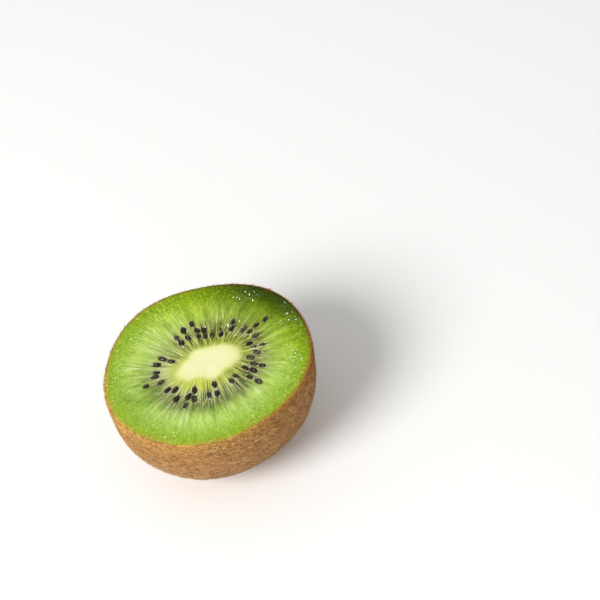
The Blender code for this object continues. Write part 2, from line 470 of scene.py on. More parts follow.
# The flesh: the cut face as rays round the core, then down inside the skin. Directions are in degrees.
flesh = {
    "turns": 720,
    "rings": ((-1.0, 0.0, 12), (0.0, 0.5, 58), (0.5, 1.0, 54)),  # from share, to share, how many
    "sideRings": 10,
    "insideSkin": 0.22 * mm,
    "endHeight": 2.2 * mm,  # clear of the scar under the end
    "coreRadius": 6.0 * mm,  # the pale core's mean radius where its edge is halfway gone
    "coreMiddle": (0.0, -0.45 * mm),
    "coreWaves": ((0.090, 1, -51.9), (0.224, 2, 12.0), (0.033, 3, -10.6), (0.101, 4, 16.8),
                  (0.056, 5, -10.1)),
    "pocketHalfWidth": (0.34 * mm, 0.58 * mm),
    "pocketEnd": (0.36, 0.54),
    "pocketDepth": 0.14 * mm,
    "extraRays": 44,
    "rayEnd": (0.50, 0.86),
    "rayHeight": 0.04 * mm,
    "rayLength": 18.0 * mm,
    "sunkSeeds": 84,
    "bedDepth": 0.20 * mm,
    "lipHeight": 0.08 * mm,
    "grainHeight": 0.085 * mm,
    "bumps": ((0.12 * mm, 6.0 * mm, 41), (0.05 * mm, 2.4 * mm, 43)),  # height, size and draw of slow ones
    "farSide": 65.0,  # direction that lies away from the light
    "farShadeWave": (70.0, 0.30),  # direction and strength of a slow wave of painted shade on the far side
    "farShadeSide": (44.0, 46.0, 0.85),  # direction, width and strength of a bell of further painted shade there
    "sides": {  # direction and width of each side that differs
        "darkest": (43.0, 24.0),  # where the painted shade on the far side is deepest
        "clear": (148.0, 40.0),  # light flesh between the seeds
        "calm": (184.0, 50.0),  # fewer dark lines by the core
        "dull": (206.0, 26.0),  # duller green
        "low": (-95.0, 80.0),  # pockets end later
        "olive": (-102.0, 70.0),  # yellow between core and seeds
    },
    "lowReach": 0.12,
    "wetSides": ((36.0, 52.0, 0.9), (226.0, 26.0, 0.5)),  # direction, width and strength
    "seed": 11,
    "greens": (  # from the core's edge out to the rim
        (0.00, (194, 203, 112)), (0.12, (164, 174, 88)), (0.26, (144, 160, 76)), (0.42, (156, 186, 88)),
        (0.62, (179, 208, 101)), (0.86, (148, 183, 54)), (0.95, (144, 168, 42)), (1.00, (154, 150, 40)),
    ),
    "coreTones": (  # from the core's edge to its middle
        (0.0, (190, 200, 108)), (0.30, (208, 214, 134)), (0.62, (230, 233, 164)), (1.0, (234, 235, 182)),
    ),
}
fleshFields = ("share", "core", "gap", "out", "ray", "sunk", "olive", "calm", "facing", "low", "wet",
               "deep", "dusk", "darkest", "dull", "clear")


def coreMask(x, y):
    # 1 in the middle of the pale core, half at its edge and 0 outside: distance over a radius that a
    # few waves make a lozenge of, with the edge frayed along the rays
    dx, dy = x - flesh["coreMiddle"][0], y - flesh["coreMiddle"][1]
    turn = np.arctan2(dy, dx)
    waves = sum(a * np.cos(n * (turn - math.radians(d))) for a, n, d in flesh["coreWaves"])
    around = ringed(1.0, turn, 0.0)
    fray = layeredNoise(around, 0.10, 5) + 0.9 * layeredNoise(around, 0.035, 6)
    distance = np.hypot(dx, dy) / (flesh["coreRadius"] * (1.0 + waves))
    return 1.0 - smoothStep(0.52, 1.36, distance + 0.05 * fray * smoothStep(0.5, 1.0, distance))


def faceFields(turn, share):
    # What lies where on the cut face: the core from 0 to 1; the gap to the nearest pocket's middle, 1
    # at its edge; pale rays and seeds sunk under the surface from 0 to 1; and the distance out from
    # the nearest seed that shows, 1 at its edge.
    rng = np.random.default_rng(flesh["seed"])
    x, y = rayPoint(turn, share, flesh["insideSkin"])
    step = 0.002
    aheadX, aheadY = rayPoint(turn + step, share, flesh["insideSkin"])
    metric = np.hypot(aheadX - x, aheadY - y) / step
    fields = {"x": x, "y": y, "share": share, "core": coreMask(x, y)}
    outward = np.clip(share, 0.0, None)
    direction = turn + fruit["coreTurn"]

    def swell(side):
        # half a wave over directions, 1 towards this side and 0 away from it
        return 0.5 + 0.5 * np.cos(direction - math.radians(side))

    for name, side in flesh["sides"].items():
        fields[name] = sideBell(direction, *side)
    fields["olive"] *= 1.0 - smoothStep(0.10, 0.24, share)
    fields["calm"] *= 1.0 - smoothStep(0.20, 0.34, share)
    fields["facing"] = swell(flesh["farSide"])
    # painted shade for the far side: a slow wave plus a bell, 1 at most
    side, spread, amount = flesh["farShadeSide"]
    dusk = flesh["farShadeWave"][1] * swell(flesh["farShadeWave"][0]) + amount * sideBell(direction, side, spread)
    fields["dusk"] = np.minimum(dusk, 1.0)
    flat = stacked(x, y, 0.0)
    patches = smoothStep(-0.15, 0.35, latticeNoise(flat, 3.6 * mm, 19)) * smoothStep(0.04, 0.22, share)
    patches *= 1.0 - smoothStep(0.86, 0.96, share)
    sides = sum(amount * sideBell(direction, side, spread) for side, spread, amount in flesh["wetSides"])
    fields["wet"] = (0.18 + 0.82 * np.minimum(sides, 1.0)) * patches

    # pockets: slits at the core, widest by the seeds and closed at their own ends
    count = len(pocketTurns)
    halfWidth = column(rng.uniform(*flesh["pocketHalfWidth"], count))
    later = sideBell(pocketTurns + fruit["coreTurn"], *flesh["sides"]["low"]) - 0.4
    later *= flesh["lowReach"]
    end = column(rng.uniform(*flesh["pocketEnd"], count) + later)
    sway = column(rng.uniform(-0.03, 0.03, count))
    distance = np.abs(angleBetween(turn, column(pocketTurns) + sway * share)) * metric
    begun = smoothStep(-0.06, 0.03, share)
    opening = (0.30 + 0.70 * smoothStep(0.02, 0.22, share)) * begun
    gaps = np.minimum(distance / np.maximum(halfWidth * opening, 1e-3 * mm), 4.0)
    fields["gap"] = gaps.min(axis=0)
    ending = 1.0 - smoothStep(0.50, 1.0, outward / end)
    depth = column(rng.uniform(0.55, 1.0, count)) * ending * begun
    fields["deep"] = np.take_along_axis(depth, gaps.argmin(axis=0)[None], axis=0)[0]

    # walls between pockets, which run on outward as pale rays
    after = np.append(pocketTurns[1:], pocketTurns[0] + fullTurn)
    extra = rng.uniform(0.0, fullTurn, flesh["extraRays"])
    centres = np.concatenate(((pocketTurns + after) / 2, extra))
    total = len(centres)
    strength = np.concatenate((rng.uniform(0.3, 1.0, count), rng.uniform(0.25, 0.8, len(extra))))
    starts = column(np.concatenate((np.full(count, 0.02), rng.uniform(0.26, 0.48, len(extra)))))
    ends = column(rng.uniform(*flesh["rayEnd"], total))
    broad = column(rng.uniform(0.6, 1.5, total))
    sway = column(rng.uniform(-0.06, 0.06, total))
    distance = angleBetween(turn, column(centres) + sway * share) * metric
    width = (0.09 * mm + 0.50 * mm * outward**1.4) * broad
    fade = smoothStep(starts, starts + 0.08, share) * (1.0 - smoothStep(0.45, 1.0, share / ends))
    rays = bell(distance, width) * fade * column(strength)
    fields["ray"] = np.clip(rays.sum(axis=0), 0.0, 1.0)

    # seeds deeper in the flesh, which show as blurred dark places along the pockets
    picked = rng.integers(0, count, flesh["sunkSeeds"])
    chosen = pocketTurns[picked]
    total = len(chosen)
    sunkTurn = column(chosen + rng.uniform(-0.06, 0.06, total))
    sunkShare = column(rng.triangular(0.16, 0.34, 0.48, total) + later[picked])
    along = (share - sunkShare) * flesh["rayLength"]
    across = angleBetween(turn, sunkTurn) * metric
    long = column(rng.uniform(0.7, 1.5, total)) * mm
    broad = column(rng.uniform(0.24, 0.5, total)) * mm
    blur = np.exp(-((along / long) ** 2) - (across / broad) ** 2)
    fields["sunk"] = (blur * column(rng.uniform(0.35, 1.0, total))).max(axis=0)

    # beds of the seeds that show
    seedX, seedY, heading, size, lift = (column(values) for values in seedTable.T)
    dx, dy = x - seedX, y - seedY
    along = (dx * np.cos(heading) + dy * np.sin(heading)) / (seedForm["length"] / 2 * size)
    across = (dy * np.cos(heading) - dx * np.sin(heading)) / (seedForm["width"] / 2 * size)
    out = np.hypot(along, across)
    bare = smoothStep(*seedRules["lift"], lift)
    fields["bed"] = (np.exp(-((out / 1.15) ** 4)) * (0.35 + 0.65 * bare)).max(axis=0)
    fields["out"] = np.minimum(out, 3.0).min(axis=0)
    return fields


def faceRelief(turn, share, fields):
    # How far each place stands off the smooth cut face: pockets and beds sink, walls, lips and rays
    # stand up, and the flesh outside the seeds is grained, most where it is wet.
    place = stacked(fields["x"], fields["y"], 0.0)
    outer = smoothStep(0.10, 0.45, share)
    wet = 0.25 + 0.75 * fields["wet"]
    fibre = layeredNoise(ringed(30, turn, share * 5.0), 1.0, 31, 2)
    outside = 1.0 - fields["core"]
    pocket = (1.0 - smoothStep(0.7, 1.25, fields["gap"])) * fields["deep"]
    relief = flesh["grainHeight"] * latticeNoise(place, 0.55 * mm, 21) * outer * wet
    relief += 0.7 * flesh["grainHeight"] * np.maximum(0.0, latticeNoise(place, 0.45 * mm, 27)) * outer * wet
    relief += 0.03 * mm * fibre * outside
    relief -= flesh["pocketDepth"] * pocket * (1.0 - fields["bed"])
    relief += flesh["rayHeight"] * fields["ray"]
    relief -= flesh["bedDepth"] * fields["bed"]
    relief += flesh["lipHeight"] * bell(fields["out"] - 1.28, 0.22) * outside
    for height, size, draw in flesh["bumps"]:
        relief += height * layeredNoise(place, size, draw)
    return relief * (1.0 - smoothStep(0.975, 1.0, share))


def fleshPaint():
    paint = Paint("kiwiFleshPaint")
    between, bellAt, noise, layered = paint.between, paint.bellAt, paint.noise, paint.layered
    place = paint.attribute("rayPlace", "Vector")
    solid = paint.objectPlace()
    (share, core, gap, out, ray, sunk, olive, calm, facing, low, wet, deep, dusk, darkest, dull,
     clear) = map(paint.attribute, fleshFields)

    def drawnOut(across, along, detail, roughness=0.5):
        # noise drawn out along the rays
        sockets = {0: place, 1: (across, across, along)}
        return noise(paint.node("VectorMath", {"operation": "MULTIPLY"}, sockets), 1.0, detail,
                     roughness)

    fibre, finer = drawnOut(26.0, 2.8, 3.0, 0.6), drawnOut(75.0, 5.0, 2.0)
    cloud, curd = drawnOut(8.0, 2.2, 2.0), drawnOut(58.0, 15.0, 2.0, 0.6)
    thread, strand = drawnOut(30.0, 1.3, 0.0), drawnOut(23.0, 2.2, 1.0)
    slow, grain, speck = noise(solid, 260.0, 3.0), noise(solid, 1600.0, 2.0, 0.6), noise(solid, 3200.0, 1.0)
    cell, glintDots = paint.cells(solid, 1500.0), paint.cells(solid, 1000.0)

    # green by distance from the core, loosened by slow noise, with painted shade on the far side and
    # painted light on the lit side by the core
    # far: painted shade on the far side, growing out from the core
    far = dusk * paint.maths("MAXIMUM", share, 0.0)
    # lit: painted light, paler flesh by the core on the side towards the light
    lit = (1.0 - facing) * between(0.30, 0.10, share)
    green = layered(
        paint.ramp(flesh["greens"], share + (slow - 0.5) * 0.14),
        (olive * 0.75, (196, 195, 60)),
        # painted shade on the far side
        (far * (0.50 + 0.40 * between(0.60, 0.92, share)), (90, 126, 2)),
        # painted light on the lit side by the core
        (lit * 0.55, (208, 216, 126)),
        # painted shade by the core on the far side
        (facing * between(0.22, 0.0, share) * 0.5, (134, 142, 58)),
        (calm * between(0.06, 0.14, share) * 0.6, (200, 210, 160)),
    )

    # pale clouds and dark hollows drawn out along the rays, fine fibres that end before the skin, and the
    # soft grain of wet cells with darker green between them, stronger on the far side, where the darker
    # curd deepens with the painted shade there; pale dots out towards the rim are painted glints
    clouded = between(0.18, 0.40, share) * between(0.90, 0.66, share) * (0.40 + 0.25 * dusk)
    combed = (1.0 - 0.9 * between(0.50, 0.82, share)) * 0.65
    loose = between(0.26, 0.50, share) * (0.55 + 0.45 * between(0.45, 0.65, slow))
    rimward = between(0.30, 0.50, share) * (0.25 + 0.75 * between(0.50, 0.90, share))
    outer = rimward * (0.30 + 0.70 * dusk)
    green = layered(
        green,
        (between(0.50, 0.70, cloud) * clouded, (202, 228, 116)),
        (between(0.50, 0.30, cloud) * clouded, (98, 140, 16)),
        (between(0.50, 0.70, fibre) * combed, (206, 226, 128)),
        (between(0.48, 0.30, fibre) * combed, (92, 128, 26)),
        (between(0.50, 0.68, curd) * loose * (0.36 + 0.24 * dusk), (208, 232, 132)),
        # darker curd, deeper with the far side's painted shade
        (between(0.50, 0.34, curd) * loose * (0.30 + 0.5 * far), (78, 122, 4)),
        (between(0.34, 0.06, cell) * outer * 0.30, (188, 214, 62)),
        (between(0.48, 0.66, grain) * outer * 0.85, (58, 98, 2)),
        (between(0.52, 0.66, speck) * outer * 0.80, (204, 228, 96)),
        # painted glints: pale dots on the wet grain
        (between(0.25, 0.11, glintDots) * rimward * between(0.44, 0.60, slow) * 0.9, (234, 248, 184)),
    )

    # pale threads and walls, what lies under the surface, and painted shade on the far side
    drawn = between(0.26, 0.40, share) * between(0.86, 0.60, share) * between(0.44, 0.56, slow)
    behind = bellAt(share, 0.38, 0.11) * low
    green = layered(
        green,
        (bellAt(thread, 0.52, 0.022) * drawn * 0.75, (224, 240, 176)),
        (ray * (0.40 + 0.9 * fibre), (212, 230, 142)),
        (ray**3.0 * (0.2 + 1.2 * finer), (234, 244, 188)),
        (behind * (0.55 + 0.6 * between(0.35, 0.65, fibre)), (92, 104, 48)),
        # painted shade on the far side, out from the core
        (bellAt(share, 0.26, 0.12) * facing * 0.48, (70, 76, 32)),
        (sunk * (0.85 - 0.6 * calm), (66, 76, 34)),
    )

    # pockets with dark borders, pale and dark strands by the core, beds with pale edges, painted shade
    # round the seeds with painted shadow in the gap by each, and painted highlights as silvery strands and
    # white specks
    edge = gap + (finer - 0.5) * 1.6 + (fibre - 0.5) * 1.2
    strong = deep * (1.0 - 0.65 * olive) * (1.0 - 0.75 * calm) * 0.85
    near = between(0.0, 0.06, share) * between(0.55, 0.32, share)
    inner = between(0.44, 0.24, share) * (1.0 - 0.7 * olive) * (1.0 - 0.7 * calm)
    rim = out + (grain - 0.5) * 0.7
    # where the painted glints by the seeds fall
    glintCells = between(0.30, 0.16, paint.cells(solid, 1700.0)) * between(0.46, 0.56, grain)
    glintSpecks = glintCells * bellAt(share, 0.31, 0.10) * (0.25 + 0.75 * low) * (1.0 - 0.8 * calm)
    green = layered(
        green,
        (bellAt(edge, 1.55, 0.30) * deep * 0.45, (202, 210, 146)),
        (between(1.30, 0.60, edge) * strong,
         paint.mixed(between(0.42, 0.62, finer), (78, 84, 46), (136, 144, 96))),
        (bellAt(edge, 0.95, 0.28) * strong, (40, 42, 18)),
        (bellAt(strand, 0.58, 0.045) * near * 0.65, (206, 214, 142)),
        (bellAt(strand, 0.49, 0.045) * near * inner * 0.85, (46, 52, 20)),
        # painted shade round the seeds
        (between(2.1, 1.1, out) * 0.50, (84, 84, 52)),
        (bellAt(rim, 1.38, 0.17) * between(0.45, 0.58, fibre) * 0.85, (228, 222, 198)),
        # painted shadow in the gap between each seed and its lip
        (between(1.30, 1.08, rim) * 0.8, (34, 28, 20)),
        # painted highlights: silvery wet strands by the seeds
        (bellAt(finer, 0.62, 0.04) * near * between(0.1, 0.5, wet) * 0.8, (228, 234, 206)),
        # painted glints: white specks by the seeds
        (glintSpecks * 0.9, (230, 234, 220)),
    )

    # painted shade makes the far side darker, and it is also yellower; other sides are duller or clearer,
    # and the rim is rusty, its rust darker on the far side as painted shade
    yellow = between(0.0, 0.6, dusk) * (0.4 + 0.48 * between(0.45, 0.85, share))
    # the deepest painted shade, on the far side, by the seeds and towards the rim
    deepShade = darkest * (0.55 * between(0.16, 0.34, share) + 0.5 * between(0.62, 0.88, share))
    rust = between(0.94, 1.02, share + (slow - 0.5) * 0.12 + (grain - 0.5) * 0.16) * 0.55
    green = layered(
        green,
        # more painted shade on the far side
        (far**2.2, (0.32, 0.34, 0.25, 1.0), "MULTIPLY"),
        (yellow + 0.35 * olive, (1.0, 1.0, 0.02, 1.0), "MULTIPLY"),
        # painted shade where it is deepest
        (deepShade, (0.36, 0.42, 0.03, 1.0), "MULTIPLY"),
        (dull * between(0.18, 0.36, share) * between(0.95, 0.75, share) * 0.45, (0.40, 0.50, 0.0, 1.0),
         "MULTIPLY"),
        (clear * bellAt(share, 0.32, 0.13) * between(1.3, 2.0, out) * 0.40, (204, 226, 130)),
        # the rim's rust, darker on the far side as painted shade
        (rust, paint.mixed(dusk, (176, 138, 58), (104, 56, 10))),
    )

    # the core pales towards its middle, and wet places have drops on them
    heart = paint.ramp(flesh["coreTones"], core + (finer - 0.5) * (1.0 - core) * 0.2)
    drops = between(0.47, 0.57, noise(solid, 1500.0, 1.0))
    small = paint.bump(grain + 1.2 * (1.0 - cell), 0.04 * mm, 0.8)
    return paint.shader({
        "Base Color": paint.mixed(between(0.06, 0.46, core + (fibre - 0.5) * 0.30), green, heart),
        "Roughness": 0.48 + 0.12 * slow,
        "Normal": paint.bump((fibre + 0.6 * finer) * (1.0 - core), 0.07 * mm, 0.6, small),
        "Subsurface Weight": 0.35,
        "Subsurface Radius": (0.9, 1.2, 0.35),
        "Subsurface Scale": 0.25 * mm,
        "Specular IOR Level": 0.08,
        "IOR": 1.38,
        "Coat Weight": 0.02 + 0.80 * wet * drops,
        "Coat Roughness": 0.05,
    })


def makeFlesh():
    # the cut face's rings along the rays, then rings down the side, just inside the skin
    turns = fullTurn * np.arange(flesh["turns"]) / flesh["turns"]
    shares = [np.linspace(start, stop, count + 1)[1:] for start, stop, count in flesh["rings"]]
    share, turn = np.meshgrid(np.concatenate(shares), turns, indexing="ij")
    fields = faceFields(turn, share)
    x, y = fields["x"], fields["y"]
    face = stacked(x, y, faceHeight(x, y) + faceRelief(turn, share, fields))
    down = np.linspace(0.02, 1.0, flesh["sideRings"])
    side = sideSurface(down, turns + fruit["coreTurn"])
    side = side - flesh["insideSkin"] * gridNormals(side)

    def spread(values, sideValue=0.0, poleValue=0.0):
        # a face field carried on down the side and to the poles
        below = np.full((len(down), len(turns)), sideValue)
        return np.concatenate((values.ravel(), below.ravel(), (poleValue, sideValue)))

    beyond = {"gap": (4.0, 4.0), "out": (3.0, 3.0), "core": (0.0, 1.0), "share": (1.0, -1.0)}
    attributes = {key: spread(fields[key], *beyond.get(key, ())) for key in fleshFields}
    rayPlace = spread(np.cos(turn)), spread(np.sin(turn)), attributes["share"]
    attributes["rayPlace"] = np.stack(rayPlace, axis=-1)
    firstPole = (*fruit["coreCentre"], face[0, :, 2].mean())
    grid = closedGrid(np.concatenate((face, side)), firstPole, (0.0, 0.0, flesh["endHeight"]))
    finishPiece(makeMesh("kiwiFlesh", *grid, attributes), fleshPaint())


def seedPaint():
    paint = Paint("kiwiSeedPaint")
    solid = paint.objectPlace()
    shade, film, along = map(paint.attribute, ("shade", "film", "along"))
    mottle = paint.noise(solid, 1500.0, 2.0)
    tone = paint.layered(
        paint.mixed(shade, *seedForm["tones"]),
        (paint.between(0.45, 0.75, mottle) * 0.5, (8, 5, 5)),
        (paint.between(0.10, 0.0, along) * 0.5, (104, 82, 56)),
        (film * paint.between(0.42, 0.60, mottle), (96, 94, 58)),
    )
    return paint.shader({
        "Base Color": tone,
        "Roughness": 0.24 + 0.2 * mottle,
        "Normal": paint.bump(paint.cells(solid, 5200.0), 0.03 * mm, 0.5),
        "Coat Weight": 0.55,
        "Coat Roughness": 0.03,
        "Coat IOR": 1.6,
        "Specular IOR Level": 0.05,
    })


def makeSeeds():
    # A seed is a ball stretched to its three sizes, narrowing evenly towards the core end and a
    # little flattened, then laid along its heading. All seeds are worked out as one array.
    rng = np.random.default_rng(seedForm["draw"])
    rings, sides, count = seedForm["rings"], seedForm["sides"], len(seedTable)
    x0, y0, heading, size, lift = (column(values) for values in seedTable.T)
    polar = np.linspace(0.0, math.pi, rings + 2)[1:-1].reshape(1, -1, 1)
    around = (fullTurn * np.arange(sides) / sides).reshape(1, 1, -1)
    along = -np.cos(polar) / 2
    belly = np.sin(polar) / 2 * (1.0 - seedForm["taper"] * (0.5 - along))
    thickness = belly * np.sin(around) * seedForm["thickness"] * size
    width = belly * np.cos(around) * seedForm["width"] * size
    length = along * seedForm["length"] * size + 0.0 * around
    bend = rng.uniform(-seedForm["bend"], seedForm["bend"], (count, 1, 1)) * seedForm["width"]
    width = width + bend * np.cos(fullTurn * along)
    ground = faceHeight(x0, y0) + lift
    x = x0 + length * np.cos(heading) - width * np.sin(heading)
    y = y0 + length * np.sin(heading) + width * np.cos(heading)
    half = np.array((-1.0, 1.0)).reshape(1, 2, 1) * (seedForm["length"] * size / 2)
    tips = stacked(x0 + half * np.cos(heading), y0 + half * np.sin(heading), ground)
    body = stacked(x, y, ground + thickness)
    points = np.concatenate((body.reshape(count, -1, 3), tips.reshape(count, -1, 3)), axis=1)
    corners = points.shape[1]
    faces = (repeated(each, count, corners) for each in ringFaces(rings, sides))
    attributes = {
        "shade": np.repeat(rng.uniform(0.0, 1.0, count), corners),
        "along": np.tile(np.append(np.repeat(along + 0.5, sides), (0.0, 1.0)), count),
        "film": np.repeat(1.0 - smoothStep(-0.16 * mm, 0.0, seedTable[:, 4]), corners),
    }
    made = makeMesh("kiwiSeeds", points.reshape(-1, 3) - middle, *faces, attributes)
    finishPiece(made, seedPaint())


# The skin: a thin shell with a ragged cut edge and a small scar under the end it rests on
skin = {
    "turns": 480,
    "thickness": 0.30 * mm,
    "innerRings": 16,
    "innerFloor": 1.2 * mm,  # the inside stays above the scar
    "edgeRings": 5,
    "outerRings": 88,
    "restRings": 12,
    "pebble": (0.045 * mm, 1.1 * mm),  # height and size of its pebbling, and of its low swellings
    "swell": (0.12 * mm, 7.0 * mm),
    "ragged": 0.13 * mm,
    "rounding": 0.06 * mm,
    "scarRadius": 3.1 * mm,
    "scarDepth": 0.55 * mm,
    "scarWidth": 0.55 * mm,
    "scarTint": (2.9 * mm, 4.0 * mm, 1.5 * mm),  # radii between which its dark tint fades, and its height
    "buttonHeight": 0.22 * mm,
    "bandWidth": 1.1 * mm,  # how far down the warmer skin by the cut goes
    "redSide": 14.0,
    # direction of the far side, whose cut edge gets painted shade
    "edgeShadeSide": 75.0,
    "grainTilt": 17.0,  # how steeply the streaks run down round the fruit, as the hair does
    "tones": ((122, 76, 38), (212, 160, 98)),
    "edgeTones": ((190, 156, 80), (160, 118, 58)),
}


def skinOuter():
    # The outside of the skin as rings from the cut edge down to the flat spot and in over the scar:
    # the body's own form with low swellings, pebbling, and a sunk button with ridges at the end.
    turns = fullTurn * np.arange(skin["turns"]) / skin["turns"]
    down = np.linspace(0.0, 1.0, skin["outerRings"])
    side = sideSurface(down, turns, fruit["height"] - fruit["rimDrop"] * 0.95)
    normal = gridNormals(side)
    fade = smoothStep(0.0, 0.03, down) * (1.0 - smoothStep(0.86, 0.97, down))
    uneven = skin["swell"][0] * layeredNoise(side, skin["swell"][1], 51)
    uneven += skin["pebble"][0] * latticeNoise(side, skin["pebble"][1], 53)
    side = side + normal * (uneven * fade[:, None])[..., None]

    inward = np.linspace(1.0, 0.04, skin["restRings"])[1:]
    reach = fruit["restRadius"] * inward[:, None] * rimWave(turns)
    groove = bell(reach - skin["scarRadius"], skin["scarWidth"]) * skin["scarDepth"]
    button = (1.0 - smoothStep(0.75, 1.0, reach / skin["scarRadius"])) * skin["buttonHeight"]
    ridges = 1.0 + 0.35 * np.sin(11 * turns + 3 * np.sin(2 * turns))
    return turns, np.concatenate((side, ringed(reach, turns, groove + button * ridges))), len(side)


def redSide(heading):
    # 1 on the side whose skin is redder, falling to 0 a quarter of a turn away from it
    return np.clip(1.2 * np.cos(heading - math.radians(skin["redSide"])), 0.0, 1.0)


def skinPaint():
    paint = Paint("kiwiSkinPaint")
    between = paint.between
    solid = paint.objectPlace()
    cut, scar, band, far, red = map(paint.attribute, ("cut", "scar", "band", "far", "red"))
    streak = paint.noise(paint.attribute("grainPlace", "Vector"), 1.0, 3.0, 0.6, 0.4)
    slow = paint.noise(solid, 140.0, 3.0)
    dots = paint.cells(solid, 1300.0)
    edge = paint.layered(
        paint.mixed(between(0.35, 0.65, slow), *skin["edgeTones"]),
        (between(0.45, 0.75, streak), (204, 178, 96)),
        (between(0.46, 0.58, paint.noise(solid, 620.0, 2.0)) * 0.75, (122, 84, 34)),
        (red * 0.8, (168, 92, 24)),
        # painted shade on the far side
        (far * 0.8, (84, 50, 20)),
    )
    tone = paint.layered(
        paint.mixed(between(0.35, 0.65, streak), *skin["tones"]),
        (between(0.4, 0.7, slow) * 0.35, (160, 110, 54)),
        (between(0.24, 0.06, dots) * 0.45, (92, 54, 24)),
        (band * 0.6, paint.mixed(red, (206, 152, 66), (150, 80, 26))),
        (scar, (62, 42, 26)),
        (cut, edge),
    )
    return paint.shader({
        "Base Color": tone,
        "Roughness": 0.62 + 0.2 * streak - 0.25 * cut,
        "Normal": paint.bump(streak + 0.6 * (1.0 - dots), 0.10 * mm, 0.8),
        "Specular IOR Level": 0.25,
        "Sheen Weight": 0.15,
        "Sheen Roughness": 0.5,
        "Sheen Tint": colour(222, 184, 132),
    })


def makeSkin(outer):
    # The shell runs up its inside, over the cut edge, which is level with the flesh's rolled rim and
    # frayed a little by the knife, and down its outside.
    turns, outerPoints, _ = outer
    picked = np.linspace(len(outerPoints) - 1, 2, skin["innerRings"]).astype(int)
    innerPoints = (outerPoints - skin["thickness"] * gridNormals(outerPoints))[picked]
    innerPoints[..., 2] = np.maximum(innerPoints[..., 2], skin["innerFloor"])
    across = np.linspace(1.0, 0.0, skin["edgeRings"] + 2)[:-1]
    reach = fruit["faceRadius"] * rimWave(turns) - skin["thickness"] * across[:, None]
    edge = ringed(reach, turns, 0.0)
    around = ringed(1.0, turns, 0.0)
    fray = skin["ragged"] * (layeredNoise(around, 0.05, 61) + 0.5 * latticeNoise(around, 0.012, 63))
    rounding = skin["rounding"] * (1.0 - (2.0 * across - 1.0) ** 2)
    edge[..., 2] = faceHeight(edge[..., 0], edge[..., 1]) + fray + rounding[:, None]
    points = np.concatenate((innerPoints, edge, outerPoints))
    height = points[..., 2]

    counts = len(innerPoints), len(edge), len(outerPoints)
    heading = np.broadcast_to(turns, points.shape[:2])
    start, stop, top = skin["scarTint"]
    scar = 1.0 - smoothStep(start, stop, np.hypot(points[..., 0], points[..., 1]))
    fields = {
        "cut": np.repeat((0.0, 1.0, 0.0), np.array(counts) * len(turns)),
        "band": bell(fruit["height"] - height, skin["bandWidth"]),
        # far: painted shade on the cut edge, 1 on the far side
        "far": np.clip(np.cos(heading - math.radians(skin["edgeShadeSide"])), 0.0, 1.0),
        "red": redSide(heading),
        "scar": (height < top) * scar,
    }
    attributes = {key: np.append(values, [key == "scar"] * 2) for key, values in fields.items()}
    lines = heading + height / math.tan(math.radians(skin["grainTilt"])) / fruit["faceRadius"]
    grain = ringed(17, lines, height / (0.5 * mm)).reshape(-1, 3)
    attributes["grainPlace"] = np.concatenate((grain, np.zeros((2, 3))))
    poles = ((0.0, 0.0, each[..., 2].mean()) for each in (innerPoints[0], outerPoints[-1]))
    made = makeMesh("kiwiSkin", *closedGrid(points, *poles), attributes)
    finishPiece(made, skinPaint())


# The hair: each kind is one piece, scattered in clumps. Lengths and widths are from and to in
# millimetres, lean is the angle above the skin, and flow is the direction along the skin, 0 round the
# fruit and 90 straight down it.
hairColumns = ("clumps", "each", "length", "width", "lean", "flow", "spread", "bend", "segments",
               "shade", "draw")
hairKinds = {
    "kiwiHairUnder": (46000, 1, (0.35, 0.70), (0.038, 0.058), (14, 50), 163, 44, 0.0, 1, (0.0, 0.6), 101),
    "kiwiHairMatted": (16400, 3, (0.45, 0.90), (0.040, 0.064), (5, 20), 163, 40, 0.0, 1, (0.0, 1.0), 103),
    "kiwiHairLong": (3400, 3, (0.8, 1.4), (0.036, 0.054), (8, 30), 163, 36, 0.45, 2, (0.55, 1.0), 107),
    "kiwiHairDark": (2400, 3, (0.4, 0.8), (0.042, 0.064), (5, 24), 165, 36, 0.3, 2, (0.05, 0.25), 109),
    "kiwiHairRim": (1500, 3, (0.5, 1.1), (0.045, 0.070), (12, 55), -14, 40, 0.4, 2, (0.35, 1.0), 113),
}
hair = {
    "reach": 0.55 * mm,  # no hair stands further off the skin than this
    "clumpWidth": 0.12 * mm,
    "whorls": ((5.0 * mm, 71, 26.0), (1.3 * mm, 73, 14.0)),  # size, draw and degrees of its swirls
    "stray": 6.0,  # degrees by which the hairs of a clump differ
    "rootDepth": 0.05 * mm,
    "bendBelow": 0.15 * mm,  # a hair whose tip would come this low runs nearly level instead
    "lowest": 0.02 * mm,
    "rimRings": 8,  # rings of the skin that the rim's own hair stands on
    "bandWidth": 1.3 * mm,  # how far down the warmer hair by the rim goes
    "sheenFrom": 27.0 * mm,  # heights between which a painted sheen makes the hair paler, downwards
    "sheenTo": 14.0 * mm,
    "tones": ((0.0, (84, 50, 24)), (0.3, (174, 124, 68)), (0.65, (238, 196, 126)), (1.0, (253, 238, 194))),
}


